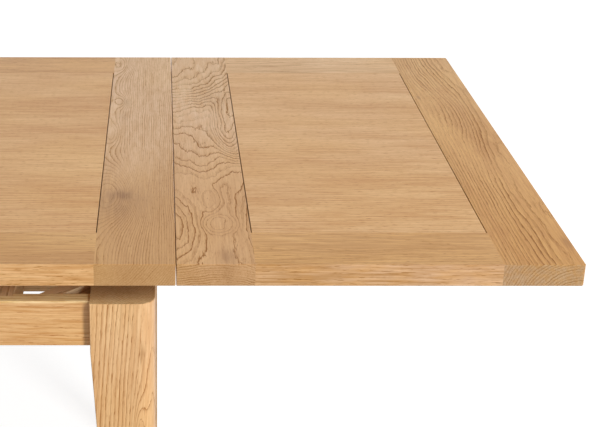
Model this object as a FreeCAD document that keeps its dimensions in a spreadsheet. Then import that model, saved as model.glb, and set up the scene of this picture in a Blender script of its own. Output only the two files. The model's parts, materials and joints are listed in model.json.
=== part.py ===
import FreeCAD, Part
import os
import re
import Sketcher
from FreeCAD import Rotation, Vector

# Oak draw leaf table: a floating top, two framed leaves on sloping lopers, and a four-legged base.
# +X runs along the table toward the drawn leaf, -Y is the near long side, +Z is up, floor at Z = 0.
# The origin is the middle of the footprint with one leaf drawn and one stowed.

doc = FreeCAD.newDocument("draw_leaf_table")

# Driving dimensions in millimetres
dimensions = {
    "table_height": 750,
    "main_length": 1200,
    "top_width": 800,
    "top_thickness": 26,
    "leaf_length": 450,
    "leaf_slit": 0.7,
    "lift_clearance": 0.5,
    "slot_clearance": 3.5,
    "stile_width": 90,
    "inner_stile_width": 87,
    "rail_width": 87,
    "panel_gap": 1.2,
    "panel_side_gap": 0.3,
    "tongue_thickness": 8,
    "tongue_depth": 10,
    "groove_depth": 12,
    "tenon_length": 40,
    "mortise_depth": 41,
    "tenon_shoulder": 17,
    "arris_radius": 1,
    "leaf_corner_radius": 3,
    "leg_size": 74,
    "foot_size": 37,
    "taper_drop": 5.5,
    "leg_corner_radius": 20,
    "leg_end_inset": 22.3,
    "leg_side_inset": 11,
    "leg_stand": 2,
    "apron_height": 56.5,
    "apron_thickness": 19,
    "apron_setback": 11.5,
    "brace_gap": 34,
    "brace_run": 26.5,
    "brace_height": 44,
    "brace_drop": 1,
    "bolt_radius": 4,
    "bolt_bite": 40,
    "bolt_length": 76,
    "bolt_play": 0.5,
    "washer_radius": 10,
    "washer_thickness": 2,
    "nut_radius": 7.5,
    "nut_thickness": 6.5,
    "screw_radius": 2.25,
    "screw_head_radius": 4.5,
    "screw_head_height": 4,
    "screw_recess": 2,
    "screw_bite": 13,
    "brace_screw_seat": 9,
    "screw_access": 30,
    "cross_rail_inset": 184,
    "cross_rail_thickness": 22,
    "cross_rail_height": 50,
    "dado_depth": 6,
    "board_length": 296,
    "board_screw_spread": 100,
    "board_screw_bite": 25,
    "peg_radius": 10,
    "peg_spread": 150,
    "peg_socket": 12,
    "peg_drop": 75,
    "peg_play": 0.4,
    "loper_thickness": 24,
    "loper_height": 45,
    "loper_drop": 4,
    "loper_tail": 513,
    "loper_reach": 424,
    "loper_start": 3,
    "loper_play": 1.5,
    "right_loper_offset": 226,
    "left_loper_offset": 194,
    "loper_screw_inner": 45,
    "loper_screw_outer": 405,
    "loper_screw_grip": 14,
    "stop_peg_radius": 5,
    "stop_peg_stand": 9,
    "stop_peg_drop": 22,
    "stop_play": 0.5,
    "bearing_play": 0.3,
    "guide_thickness": 12.5,
    "guide_height": 40,
    "guide_lift": 7,
    "glide_radius": 15,
    "glide_thickness": 4,
    "glide_pin_radius": 2,
    "glide_pin_length": 15,
}
sheet = doc.addObject("Spreadsheet::Sheet", "Dimensions")
for row, (alias, number) in enumerate(dimensions.items(), start=1):
    sheet.set(f"A{row}", alias)
    sheet.set(f"B{row}", str(number))
    sheet.setAlias(f"B{row}", alias)
doc.recompute()

# Heights and places that follow from the driving dimensions
base_x = "(-(leaf_length + leaf_slit) / 2)"
main_under = "(table_height - top_thickness)"
slot_height = "(top_thickness + lift_clearance + slot_clearance)"
base_top = f"({main_under} - {slot_height})"
draw = "(leaf_length + leaf_slit)"
rise = "(top_thickness + lift_clearance)"
slope = f"({rise} / {draw})"
leg_reach_x = "(main_length / 2 - leg_end_inset)"
leg_reach_y = "(top_width / 2 - leg_side_inset)"
apron_inside = "(apron_setback + apron_thickness)"
tongue_under = "((top_thickness - tongue_thickness) / 2)"
rail_groove = "(rail_width - groove_depth)"
cross_rail_face = "(main_length / 2 - cross_rail_inset)"
rail_inner = f"({cross_rail_face} - cross_rail_thickness)"
end_apron_inside = f"({leg_reach_x} - {apron_inside})"
edge_from_middle = "(main_length / 2 + leaf_slit)"


def bound(text):
    """Expression text with every dimension word pointed at the sheet."""
    def point(found):
        word = found[0]
        return f"Dimensions.{word}" if word in dimensions else word

    return re.sub(r"[a-z]\w*", point, text)


def value(text):
    return float(sheet.evalExpression(bound(text)))


def bind(item, path, text):
    item.setExpression(path, bound(text))


def place(item, x, y, z, turn=0.0, tilt=Rotation()):
    """Bind the placement's base and set its rotation: a tilt first, then a turn about the vertical."""
    item.Placement.Rotation = Rotation(Vector(0, 0, 1), turn) * tilt
    for axis, text in zip("xyz", (x, y, z)):
        bind(item, f"Placement.Base.{axis}", text)
    return item


def new_body(label):
    item = doc.addObject("PartDesign::Body", label)
    item.Label = label
    return item


def sketch(body, role, points, offset="0"):
    """Closed polygon on one of the body's origin planes, each corner held by two bound distances."""
    drawing = body.newObject("Sketcher::SketchObject", "Profile")
    plane = next(feature for feature in body.Origin.OriginFeatures if feature.Role == role)
    drawing.AttachmentSupport = [(plane, "")]
    drawing.MapMode = "FlatFace"
    bind(drawing, "AttachmentOffset.Base.z", offset)
    corners = [Vector(value(x), value(y), 0) for x, y in points]
    count = len(corners)
    for index, corner in enumerate(corners):
        drawing.addGeometry(Part.LineSegment(corner, corners[(index + 1) % count]), False)
    for index in range(count):
        drawing.addConstraint(Sketcher.Constraint("Coincident", index, 2, (index + 1) % count, 1))
    for index, texts in enumerate(points):
        for kind, text in zip(("DistanceX", "DistanceY"), texts):
            rule = drawing.addConstraint(Sketcher.Constraint(kind, -1, 1, index, 1, value(text)))
            bind(drawing, f"Constraints[{rule}]", text)
    return drawing


def rectangle(left, low, right, high):
    return [(left, low), (right, low), (right, high), (left, high)]


def pad(body, drawing, length, reverse=False):
    feature = body.newObject("PartDesign::Pad", "Pad")
    feature.Profile = drawing
    feature.Reversed = reverse
    bind(feature, "Length", length)
    doc.recompute()


def pocket(body, drawing, length, reverse=False):
    """Cut the profile away and make sure that it removed material."""
    before = body.Shape.Volume
    feature = body.newObject("PartDesign::Pocket", "Pocket")
    feature.Profile = drawing
    feature.Reversed = reverse
    bind(feature, "Length", length)
    doc.recompute()
    if body.Shape.Volume > before - 1:
        raise RuntimeError(f"{body.Label}: the pocket cut nothing")


def fillet(body, radius, wanted):
    """Round the tip's edges whose midpoint passes the test."""
    tip = body.Tip
    names = []
    for number, edge in enumerate(tip.Shape.Edges, start=1):
        middle = edge.valueAt((edge.FirstParameter + edge.LastParameter) / 2)
        if wanted(middle):
            names.append(f"Edge{number}")
    feature = body.newObject("PartDesign::Fillet", "Fillet")
    feature.Base = (tip, names)
    bind(feature, "Radius", radius)
    doc.recompute()


def near(a, text):
    return abs(a - value(text)) < 1e-4


def cylinder(radius, height):
    item = doc.addObject("Part::Cylinder", "Cylinder")
    bind(item, "Radius", radius)
    bind(item, "Height", height)
    return item


def cone(low_radius, high_radius, height):
    item = doc.addObject("Part::Cone", "Cone")
    bind(item, "Radius1", low_radius)
    bind(item, "Radius2", high_radius)
    bind(item, "Height", height)
    return item


def joined(kind, label, items):
    item = doc.addObject(kind, label)
    item.Label = label
    if kind == "Part::Compound":
        item.Links = items
    else:
        item.Shapes = items
    return item


def bored(label, base, tools):
    """The base with the tools cut out of it."""
    base.Label = f"{label}_blank"
    item = doc.addObject("Part::Cut", label)
    item.Label = label
    item.Base = base
    item.Tool = tools[0] if len(tools) == 1 else joined("Part::Compound", f"{label}_bores", tools)
    return item


# Framed tops: stiles run the full width, rails are tenoned between them, the panel floats in grooves

def stile(label, width, corner_radius):
    """Local frame: outer edge on the Y axis, near end on the X axis, underside at Z = 0."""
    body = new_body(label)
    pad(body, sketch(body, "XY_Plane", rectangle("0", "0", width, "top_width")), "top_thickness")
    mortise = f"{width} - mortise_depth"
    groove = f"{width} - groove_depth"
    joint = [
        (width, "tenon_shoulder"),
        (mortise, "tenon_shoulder"),
        (mortise, rail_groove),
        (groove, rail_groove),
        (groove, f"top_width - {rail_groove}"),
        (mortise, f"top_width - {rail_groove}"),
        (mortise, "top_width - tenon_shoulder"),
        (width, "top_width - tenon_shoulder"),
    ]
    pocket(body, sketch(body, "XY_Plane", joint, tongue_under), "tongue_thickness", True)

    def at_end(point):
        return near(point.y, "0") or near(point.y, "top_width")

    def upright_corner(point):
        return near(point.x, "0") and at_end(point)

    def outside(point):
        level = near(point.z, "0") or near(point.z, "top_thickness")
        rounded = max(point.x, min(point.y, value("top_width") - point.y)) < value("leaf_corner_radius")
        return level and (near(point.x, "0") or at_end(point) or rounded)

    fillet(body, corner_radius, upright_corner)
    fillet(body, "arris_radius", outside)
    return body


def rail(label, length):
    """Local frame: left shoulder on the Y axis, outer edge on the X axis, underside at Z = 0."""
    body = new_body(label)
    pad(body, sketch(body, "XY_Plane", rectangle("0", "0", length, "rail_width")), "top_thickness")
    tenons = rectangle("-tenon_length", "tenon_shoulder", f"{length} + tenon_length", rail_groove)
    pad(body, sketch(body, "XY_Plane", tenons, tongue_under), "tongue_thickness")
    groove = rectangle(rail_groove, tongue_under, "rail_width", f"{tongue_under} + tongue_thickness")
    pocket(body, sketch(body, "YZ_Plane", groove), length, True)

    def outside(point):
        return near(point.y, "0") and (near(point.z, "0") or near(point.z, "top_thickness"))

    fillet(body, "arris_radius", outside)
    return body


def panel(label, length):
    """Local frame: centred on the origin in plan, underside at Z = 0."""
    body = new_body(label)
    half_x = f"({length} / 2 - panel_gap)"
    half_y = "(top_width / 2 - rail_width - panel_side_gap)"
    tongue_x = f"({half_x} + tongue_depth)"
    tongue_y = f"({half_y} + tongue_depth)"
    face = rectangle(f"-{half_x}", f"-{half_y}", half_x, half_y)
    tongue = rectangle(f"-{tongue_x}", f"-{tongue_y}", tongue_x, tongue_y)
    pad(body, sketch(body, "XY_Plane", face), "top_thickness")
    pad(body, sketch(body, "XY_Plane", tongue, tongue_under), "tongue_thickness")
    return body


def framed_top(name, left, length, low, left_end, right_end):
    """Two stiles, two rails and a panel. Each end is the width of its stile and the radius of its corners."""
    left_width = left_end[0]
    right_width = right_end[0]
    right = f"({left} + {length})"
    span = f"({length} - {left_width} - {right_width})"
    shoulder = f"({left} + {left_width})"
    half_width = "top_width / 2"
    place(stile(f"{name}_left_stile", *left_end), left, f"-{half_width}", low)
    place(stile(f"{name}_right_stile", *right_end), right, half_width, low, 180)
    place(rail(f"{name}_front_rail", span), shoulder, f"-{half_width}", low)
    place(rail(f"{name}_back_rail", span), f"{shoulder} + {span}", half_width, low, 180)
    return place(panel(f"{name}_panel", span), f"{shoulder} + {span} / 2", "0", low)


# Leaves and their lopers, laid out from the leaf's inner edge outward, with the leaf's underside as level

def loper_edge(x):
    """Top edge of the loper's tail, a line along which the loper slides."""
    return f"(({x}) * {slope} - loper_drop)"


def loper(label):
    """Sloping bar, level where it carries the leaf, drawn from the side."""
    body = new_body(label)
    tail = "-loper_tail"
    outline = [
        ("loper_start", loper_edge("loper_start")),
        ("loper_start", "0"),
        ("loper_reach", "0"),
        ("loper_reach", f"{loper_edge('loper_reach')} - loper_height"),
        (tail, f"{loper_edge(tail)} - loper_height"),
        (tail, loper_edge(tail)),
    ]
    pad(body, sketch(body, "XZ_Plane", outline, "-loper_thickness / 2"), "loper_thickness")
    return body


def leaf(name, edge_x, low, side, offset, stop_side):
    """A framed leaf, two lopers, their screws and stop pegs. Side is 1 on the right and -1 on the left."""
    turn = 0 if side > 0 else 180
    left = edge_x if side > 0 else f"({edge_x} - leaf_length)"
    ends = (("inner_stile_width", "arris_radius"), ("stile_width", "leaf_corner_radius"))[::side]
    framed_top(f"{name}_leaf", left, "leaf_length", low, *ends)
    screws = []
    pegs = []
    stop_x = f"({rail_inner} - stop_play - stop_peg_radius - {edge_from_middle})"
    peg_length = "loper_thickness + stop_peg_stand"
    for row in (-1, 1):
        for at in ("loper_screw_inner", "loper_screw_outer"):
            foot = f"({loper_edge(at)} - loper_height + screw_recess + screw_head_height)"
            shank = cylinder("screw_radius", f"loper_screw_grip - {foot}")
            head = cylinder("screw_head_radius", "screw_head_height")
            x = f"{edge_x} + {side} * {at}"
            place(shank, x, f"{row} * {offset}", f"{low} + {foot}")
            place(head, x, f"{row} * {offset}", f"{low} + {foot} - screw_head_height")
            screws.append(joined("Part::MultiFuse", f"{name}_loper_screw", [shank, head]))
        peg = cylinder("stop_peg_radius", peg_length)
        outward = row * stop_side
        peg_y = f"{row} * {offset} - {outward} * loper_thickness / 2"
        peg_z = f"{low} + {loper_edge(stop_x)} - stop_peg_drop"
        place(peg, f"{edge_x} + {side} * {stop_x}", peg_y, peg_z, 0, Rotation(Vector(1, 0, 0), -90 * outward))
        pegs.append(peg)
    screw_set = joined("Part::Compound", f"{name}_loper_screws", screws)
    peg_set = joined("Part::Compound", f"{name}_stop_pegs", pegs)
    for row, word in ((-1, "front"), (1, "back")):
        bar = place(loper(f"{name}_{word}_loper"), edge_x, f"{row} * {offset}", low, turn)
        access = []
        for at in ("loper_screw_inner", "loper_screw_outer"):
            hole = cylinder("screw_head_radius", "screw_access")
            foot = f"({loper_edge(at)} - loper_height + screw_recess)"
            place(hole, f"{edge_x} + {side} * {at}", f"{row} * {offset}", f"{low} + {foot} - screw_access")
            access.append(hole)
        bored(f"{name}_{word}_loper", bar, [screw_set, peg_set] + access)
    for stile_word in ("left", "right"):
        label = f"{name}_leaf_{stile_word}_stile"
        bored(label, doc.getObjectsByLabel(label)[0], [screw_set])


right_edge = f"({base_x} + main_length / 2 + leaf_slit)"
left_edge = f"({base_x} - main_length / 2 - leaf_slit + {draw})"
leaf("right", right_edge, main_under, 1, "right_loper_offset", 1)
leaf("left", left_edge, f"({main_under} - {rise})", -1, "left_loper_offset", -1)

# Main top: it lies loose on the centre board, held in place by two guide pegs in its panel

main_end = ("stile_width", "arris_radius")
main_left = f"({base_x} - main_length / 2)"
main_panel = framed_top("main", main_left, "main_length", main_under, main_end, main_end)
guide_pegs = []
for row, word in ((-1, "front"), (1, "back")):
    peg = cylinder("peg_radius", "peg_drop + peg_socket")
    peg.Label = f"{word}_guide_peg"
    guide_pegs.append(place(peg, base_x, f"{row} * peg_spread", f"{main_under} - peg_drop"))
bored("main_panel", main_panel, guide_pegs)


# Base corners: tapered leg, diagonal brace, hanger bolt with washer and nut, brace screws and foot glide

def corner(turns, x, y):
    """Plan expressions of a point measured from the outer arris of a leg, quarter turns from front left."""
    forward = (x, f"(-({y}))", f"(-({x}))", y)[turns]
    across = (y, x, f"(-({y}))", f"(-({x}))")[turns]
    reach_x = leg_reach_x if turns in (1, 2) else f"(-{leg_reach_x})"
    reach_y = leg_reach_y if turns in (2, 3) else f"(-{leg_reach_y})"
    return f"{base_x} + {reach_x} + {forward}", f"{reach_y} + {across}"


def leg(label):
    """Local frame: outer faces on the X and Y axes, both inner faces taper below the apron.

    The leg stands a little above the apron's top edge."""
    body = new_body(label)
    leg_top = f"({base_top} + leg_stand - glide_thickness)"
    bend = f"({leg_top} - apron_height - taper_drop)"
    front = [("0", "0"), ("foot_size", "0"), ("leg_size", bend), ("leg_size", leg_top), ("0", leg_top)]
    pad(body, sketch(body, "XZ_Plane", front), "leg_size", True)
    taper = [("foot_size", "0"), ("leg_size", "0"), ("leg_size", bend)]
    pocket(body, sketch(body, "YZ_Plane", taper), "leg_size", True)
    cut_back = f"({apron_inside} + brace_gap)"
    seat = [("leg_size", cut_back), ("leg_size", "leg_size"), (cut_back, "leg_size")]
    pocket(body, sketch(body, "XY_Plane", seat, leg_top), "apron_height")

    def outer_arris(point):
        return near(point.x, "0") and near(point.y, "0")

    def other_arris(point):
        far = max(point.x, point.y)
        close = min(point.x, point.y)
        at_foot = near(point.z, "0")
        at_top = near(point.z, leg_top)
        upright = near(close, "0") and far > value("foot_size") and not at_foot and not at_top
        top_edge = at_top and close < value("leg_corner_radius") / 2
        return upright or top_edge

    fillet(body, "leg_corner_radius", outer_arris)
    fillet(body, "arris_radius", other_arris)
    return body


def brace(label):
    """Block across the corner between the two aprons, its face toward the leg flat against the leg."""
    body = new_body(label)
    first = "(leg_size + brace_gap)"
    last = f"({first} + brace_run)"
    plan = [(first, apron_inside), (last, apron_inside), (apron_inside, last), (apron_inside, first)]
    pad(body, sketch(body, "XY_Plane", plan), "brace_height")
    return body


corner_words = ("front_left", "front_right", "back_right", "back_left")
brace_under = f"({base_top} - brace_drop - brace_height)"
bolt_level = f"({brace_under} + brace_height / 2)"
seat_at = f"((leg_size + brace_gap + {apron_inside}) / 2)"
face_at = f"({seat_at} + brace_run / 2)"
half_root = "sqrt(0.5)"
hole_start = f"({seat_at} - bolt_play)"
screw_at = "(leg_size + brace_gap + brace_run / 3)"
screw_point = f"({apron_inside} - screw_bite)"
screw_seat = f"({apron_inside} + brace_screw_seat)"
bolts = []
washers = []
nuts = []
brace_screws = []
brace_bores = []
leg_bodies = []
for turns, word in enumerate(corner_words):
    diagonal = 90 * turns + 45
    along = Rotation(Vector(0, 1, 0), 90)
    bolt_start = f"({seat_at} - bolt_bite * {half_root})"
    bolt = cylinder("bolt_radius", "bolt_length")
    bolts.append(place(bolt, *corner(turns, bolt_start, bolt_start), bolt_level, diagonal, along))
    hole = cylinder("bolt_radius + bolt_play", "bolt_length")
    place(hole, *corner(turns, hole_start, hole_start), bolt_level, diagonal, along)
    disc = cylinder("washer_radius", "washer_thickness")
    place(disc, *corner(turns, face_at, face_at), bolt_level, diagonal, along)
    washers.append(disc)
    nut = doc.addObject("Part::Prism", "Nut")
    nut.Polygon = 6
    bind(nut, "Circumradius", "nut_radius")
    bind(nut, "Height", "nut_thickness")
    nut_at = f"({face_at} + washer_thickness * {half_root})"
    nuts.append(place(nut, *corner(turns, nut_at, nut_at), bolt_level, diagonal, along))
    bores = [hole]
    ways = (
        ((screw_at, screw_point), (screw_at, screw_seat), Rotation(Vector(1, 0, 0), -90)),
        ((screw_point, screw_at), (screw_seat, screw_at), Rotation(Vector(0, 1, 0), 90)),
    )
    for point, seat, inward in ways:
        shank = cylinder("screw_radius", "screw_bite + brace_screw_seat")
        place(shank, *corner(turns, *point), bolt_level, 90 * turns, inward)
        head = cylinder("screw_head_radius", "screw_head_height")
        place(head, *corner(turns, *seat), bolt_level, 90 * turns, inward)
        access = cylinder("screw_head_radius", "screw_access")
        place(access, *corner(turns, *seat), bolt_level, 90 * turns, inward)
        brace_screws.append(joined("Part::MultiFuse", "brace_screw", [shank, head]))
        bores.extend([shank, access])
    brace_bores.append(bores)
    leg_bodies.append(place(leg(f"{word}_leg"), *corner(turns, "0", "0"), "glide_thickness", 90 * turns))

bolt_set = joined("Part::Compound", "hanger_bolts", bolts)
bored("bolt_washers", joined("Part::Compound", "washers", washers), [bolt_set])
bored("hex_nuts", joined("Part::Compound", "nuts", nuts), [bolt_set])
screw_set = joined("Part::Compound", "brace_screws", brace_screws)
for turns, word in enumerate(corner_words):
    block = place(brace(f"{word}_brace"), *corner(turns, "0", "0"), brace_under, 90 * turns)
    bored(f"{word}_brace", block, brace_bores[turns])
    centre = corner(turns, "foot_size / 2", "foot_size / 2")
    disc = place(cylinder("glide_radius", "glide_thickness"), *centre, "0")
    pin = place(cylinder("glide_pin_radius", "glide_pin_length"), *centre, "glide_thickness")
    glide = joined("Part::MultiFuse", f"{word}_glide", [disc, pin])
    bored(f"{word}_leg", leg_bodies[turns], [bolts[turns], glide])


# Aprons and cross rails, with notches for the lopers and housings for the rails and the screws

def notched(label, half_length, height, offset, depth, thickness):
    """Board along Y, centred, with a notch in its top edge for each loper. Its low edge is at Z = 0."""
    body = new_body(label)
    half_notch = "(loper_thickness / 2 + loper_play)"
    floor = f"({height} - {depth})"
    outer = f"({offset} + {half_notch})"
    inner = f"({offset} - {half_notch})"
    right_half = [(inner, height), (inner, floor), (outer, floor), (outer, height), (half_length, height)]
    left_half = [(f"(-{x})", z) for x, z in right_half]
    outline = [(half_length, "0")] + right_half[::-1] + left_half + [(f"(-{half_length})", "0")]
    pad(body, sketch(body, "YZ_Plane", outline), thickness)
    return body


def notch_depth(inner_face):
    """From the base's top down to just below the loper's sliding edge at the board's inner face."""
    return f"({base_top} + bearing_play + loper_height - {main_under} - {loper_edge(inner_face)})"


apron_under = f"({base_top} - apron_height)"
end_length = f"({leg_reach_y} - leg_size)"
for side, word, offset in ((1, "right", "right_loper_offset"), (-1, "left", "left_loper_offset")):
    turn = 0 if side > 0 else 180
    depth = notch_depth(f"{end_apron_inside} - {edge_from_middle}")
    apron = notched(f"{word}_apron", end_length, "apron_height", offset, depth, "apron_thickness")
    place(apron, f"{base_x} + {side} * {end_apron_inside}", "0", apron_under, turn)
    bored(f"{word}_apron", apron, [screw_set])
    depth = notch_depth(f"{rail_inner} - {edge_from_middle}")
    reach = f"({leg_reach_y} - {apron_inside} + dado_depth)"
    bar = notched(f"{word}_cross_rail", reach, "cross_rail_height", offset, depth, "cross_rail_thickness")
    rail_under = f"({base_top} - cross_rail_height)"
    place(bar, f"{base_x} + {side} * {rail_inner}", "0", rail_under, turn)
    for row, row_word in ((-1, "front"), (1, "back")):
        guide = doc.addObject("Part::Box", "Guide")
        guide.Label = f"{row_word}_{word}_loper_guide"
        bind(guide, "Length", f"{end_apron_inside} - {cross_rail_face}")
        bind(guide, "Width", "guide_thickness")
        bind(guide, "Height", "guide_height")
        clear = f"({offset} + loper_thickness / 2 + loper_play)"
        guide_x = cross_rail_face if side > 0 else f"(-{end_apron_inside})"
        guide_y = clear if row > 0 else f"(-{clear} - guide_thickness)"
        place(guide, f"{base_x} + {guide_x}", guide_y, f"{apron_under} + guide_lift")

# Centre board: as thick as the leaf slot, screwed down on the long aprons, bored for the guide pegs

board = doc.addObject("Part::Box", "Board")
board_half = f"({leg_reach_y} - apron_setback)"
bind(board, "Length", "board_length")
bind(board, "Width", f"2 * {board_half}")
bind(board, "Height", slot_height)
place(board, f"{base_x} - board_length / 2", f"-{board_half}", base_top)
board_screws = []
for row in (-1, 1):
    for side in (-1, 1):
        spot = (f"{base_x} + {side} * board_screw_spread", f"{row} * ({board_half} - apron_thickness / 2)")
        shank = cylinder("screw_radius", f"board_screw_bite + {slot_height} - screw_head_height")
        place(shank, *spot, f"{base_top} - board_screw_bite")
        head = cone("screw_radius", "screw_head_radius", "screw_head_height")
        place(head, *spot, f"{main_under} - screw_head_height")
        board_screws.append(joined("Part::MultiFuse", "board_screw", [shank, head]))
board_screw_set = joined("Part::Compound", "centre_board_screws", board_screws)
peg_holes = []
for row in (-1, 1):
    hole = cylinder("peg_radius + peg_play", slot_height)
    peg_holes.append(place(hole, base_x, f"{row} * peg_spread", base_top))
bored("centre_board", board, [board_screw_set] + peg_holes)

for row, word in ((-1, "front"), (1, "back")):
    body = new_body(f"{word}_apron")
    half = f"({leg_reach_x} - leg_size)"
    outline = rectangle(f"-{half}", "0", half, "apron_thickness")
    pad(body, sketch(body, "XY_Plane", outline), "apron_height")
    for side in (-1, 1):
        ends = [f"({side} * {rail_inner})", f"({side} * {cross_rail_face})"][::side]
        housing = rectangle(ends[0], "apron_thickness - dado_depth", ends[1], "apron_thickness")
        pocket(body, sketch(body, "XY_Plane", housing, "apron_height"), "cross_rail_height")

    def front_arris(point):
        return near(point.y, "0") and (near(point.z, "0") or near(point.z, "apron_height"))

    fillet(body, "arris_radius", front_arris)
    place(body, base_x, f"{row} * {board_half}", apron_under, 0 if row < 0 else 180)
    bored(f"{word}_apron", body, [screw_set, board_screw_set])

doc.recompute()

# Every object must have built, and every sub-part must be a valid shape, before anything is written

framed_pieces = ("left_stile", "right_stile", "front_rail", "back_rail", "panel")
names = [f"{top}_{piece}" for top in ("main", "left_leaf", "right_leaf") for piece in framed_pieces]
names += [f"{row}_guide_peg" for row in ("front", "back")]
names += [f"{side}_{row}_loper" for side in ("left", "right") for row in ("front", "back")]
end_pieces = ("loper_screws", "stop_pegs", "cross_rail")
names += [f"{side}_{piece}" for side in ("left", "right") for piece in end_pieces]
names += [f"{word}_{piece}" for word in corner_words for piece in ("leg", "brace", "glide")]
names += [f"{word}_apron" for word in ("front", "back", "left", "right")]
names += [f"{row}_{side}_loper_guide" for row in ("front", "back") for side in ("left", "right")]
names += ["hanger_bolts", "bolt_washers", "hex_nuts", "brace_screws", "centre_board", "centre_board_screws"]

for item in doc.Objects:
    if "Invalid" in item.State or "Error" in item.State:
        raise RuntimeError(f"{item.Label} failed: {item.State}")

os.makedirs("parts", exist_ok=True)
for name in names:
    shape = doc.getObjectsByLabel(name)[0].Shape
    if shape.isNull() or not shape.isValid():
        raise RuntimeError(f"{name} has no valid shape")
    shape.exportStep(f"parts/{name}.step")
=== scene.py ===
import json
from math import cos, pi, sin

import bpy
from mathutils import Euler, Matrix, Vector


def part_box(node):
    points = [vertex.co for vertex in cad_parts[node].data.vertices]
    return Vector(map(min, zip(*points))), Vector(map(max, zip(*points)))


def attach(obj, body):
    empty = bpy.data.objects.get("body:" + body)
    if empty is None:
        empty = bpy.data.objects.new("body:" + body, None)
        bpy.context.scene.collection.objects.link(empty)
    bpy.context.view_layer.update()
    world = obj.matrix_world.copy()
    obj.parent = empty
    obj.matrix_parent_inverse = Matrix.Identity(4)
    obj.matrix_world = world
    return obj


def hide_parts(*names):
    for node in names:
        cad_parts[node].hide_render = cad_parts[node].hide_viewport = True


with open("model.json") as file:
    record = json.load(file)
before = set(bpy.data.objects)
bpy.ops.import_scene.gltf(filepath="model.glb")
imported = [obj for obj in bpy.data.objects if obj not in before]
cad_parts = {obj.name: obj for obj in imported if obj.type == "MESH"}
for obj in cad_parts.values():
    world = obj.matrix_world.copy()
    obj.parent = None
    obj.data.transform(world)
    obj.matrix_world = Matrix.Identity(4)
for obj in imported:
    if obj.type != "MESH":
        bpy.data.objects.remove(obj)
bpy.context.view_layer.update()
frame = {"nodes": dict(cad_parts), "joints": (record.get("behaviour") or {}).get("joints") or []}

nodes = frame["nodes"]


# Legs
# Each leg is one solid oak post, tapered on its two inner faces and rounded on its outer corner.
# It is sawn from a plank, so its faces show the growth rings as long upright lines with open pores.

def add_node(tree, kind, **settings):
    made = tree.nodes.new(kind)
    for name, setting in settings.items():
        setattr(made, name, setting)
    return made


def feed(tree, socket, source):
    """Link a socket to another, or set it to a plain value."""
    if isinstance(source, bpy.types.NodeSocket):
        tree.links.new(source, socket)
    else:
        socket.default_value = source


def math(tree, operation, *sources, clamp=False):
    made = add_node(tree, "ShaderNodeMath", operation=operation, use_clamp=clamp)
    for socket, source in zip(made.inputs, sources):
        feed(tree, socket, source)
    return made.outputs[0]


def vector_math(tree, operation, *sources):
    made = add_node(tree, "ShaderNodeVectorMath", operation=operation)
    for socket, source in zip(made.inputs, sources):
        feed(tree, socket, source)
    return made.outputs["Value" if operation in ("LENGTH", "DOT_PRODUCT") else "Vector"]


def scaled(tree, vector, factor):
    made = add_node(tree, "ShaderNodeVectorMath", operation="SCALE")
    feed(tree, made.inputs["Vector"], vector)
    feed(tree, made.inputs["Scale"], factor)
    return made.outputs["Vector"]


def noise(tree, vector, seed, stretch, detail=2.0):
    """Four-dimensional noise of the vector stretched along the grain."""
    made = add_node(tree, "ShaderNodeTexNoise", noise_dimensions="4D")
    feed(tree, made.inputs["Vector"], vector_math(tree, "MULTIPLY", vector, stretch))
    feed(tree, made.inputs["W"], seed)
    feed(tree, made.inputs["Scale"], 1.0)
    feed(tree, made.inputs["Detail"], detail)
    return made


def mix_colour(tree, factor, first, second, blend="MIX"):
    made = add_node(tree, "ShaderNodeMix", data_type="RGBA", blend_type=blend)
    feed(tree, made.inputs[0], factor)
    feed(tree, made.inputs[6], first)
    feed(tree, made.inputs[7], second)
    return made.outputs[2]


def map_range(tree, source, low, high, to_low=0.0, to_high=1.0, smooth=True):
    made = add_node(tree, "ShaderNodeMapRange")
    made.interpolation_type = "SMOOTHSTEP" if smooth else "LINEAR"
    for name, number in (("From Min", low), ("From Max", high), ("To Min", to_low), ("To Max", to_high)):
        made.inputs[name].default_value = number
    feed(tree, made.inputs["Value"], source)
    return made.outputs["Result"]


def srgb(red, green, blue):
    """Linear colour of a colour given in display values from 0 to 255."""
    def linear(part):
        part = part / 255
        return part / 12.92 if part <= 0.04045 else ((part + 0.055) / 1.055) ** 2.4
    return (linear(red), linear(green), linear(blue), 1.0)


def make_group(name, inputs, outputs):
    """An empty shader group with its sockets, and the sockets it is given."""
    group = bpy.data.node_groups.new(name, "ShaderNodeTree")
    for label, kind in inputs.items():
        group.interface.new_socket(label, in_out="INPUT", socket_type=f"NodeSocket{kind}")
    for label, kind in outputs.items():
        group.interface.new_socket(label, in_out="OUTPUT", socket_type=f"NodeSocket{kind}")
    return group, group.nodes.new("NodeGroupInput").outputs


def make_ring_group():
    """Which yearly ring a point lies in: cylinders round the heart, pushed by slow sway and ripple."""
    group, given = make_group("yearly_rings", {
        "Board": "Vector", "Seed": "Float", "Ring Spacing": "Float", "Sway": "Float", "Sway Scale": "Float",
        "Ripple": "Float", "Ripple Scale": "Float", "Push": "Float"}, {"Count": "Float"})
    board = given["Board"]
    pushed = board
    for word, stretch, detail in (("Sway", (2.2, 9.0, 9.0), 1.0), ("Ripple", (9.0, 34.0, 34.0), 4.0)):
        moved = noise(group, scaled(group, board, given[f"{word} Scale"]), given["Seed"], stretch, detail)
        moved = vector_math(group, "SUBTRACT", moved.outputs["Color"], (0.5, 0.5, 0.5))
        pushed = vector_math(group, "ADD", pushed, scaled(group, moved, given[word]))
    radius = vector_math(group, "LENGTH", vector_math(group, "MULTIPLY", pushed, (0.0, 1.0, 1.0)))
    count = math(group, "DIVIDE", math(group, "ADD", radius, given["Push"]), given["Ring Spacing"])
    feed(group, group.nodes.new("NodeGroupOutput").inputs["Count"], count)
    return group


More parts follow.
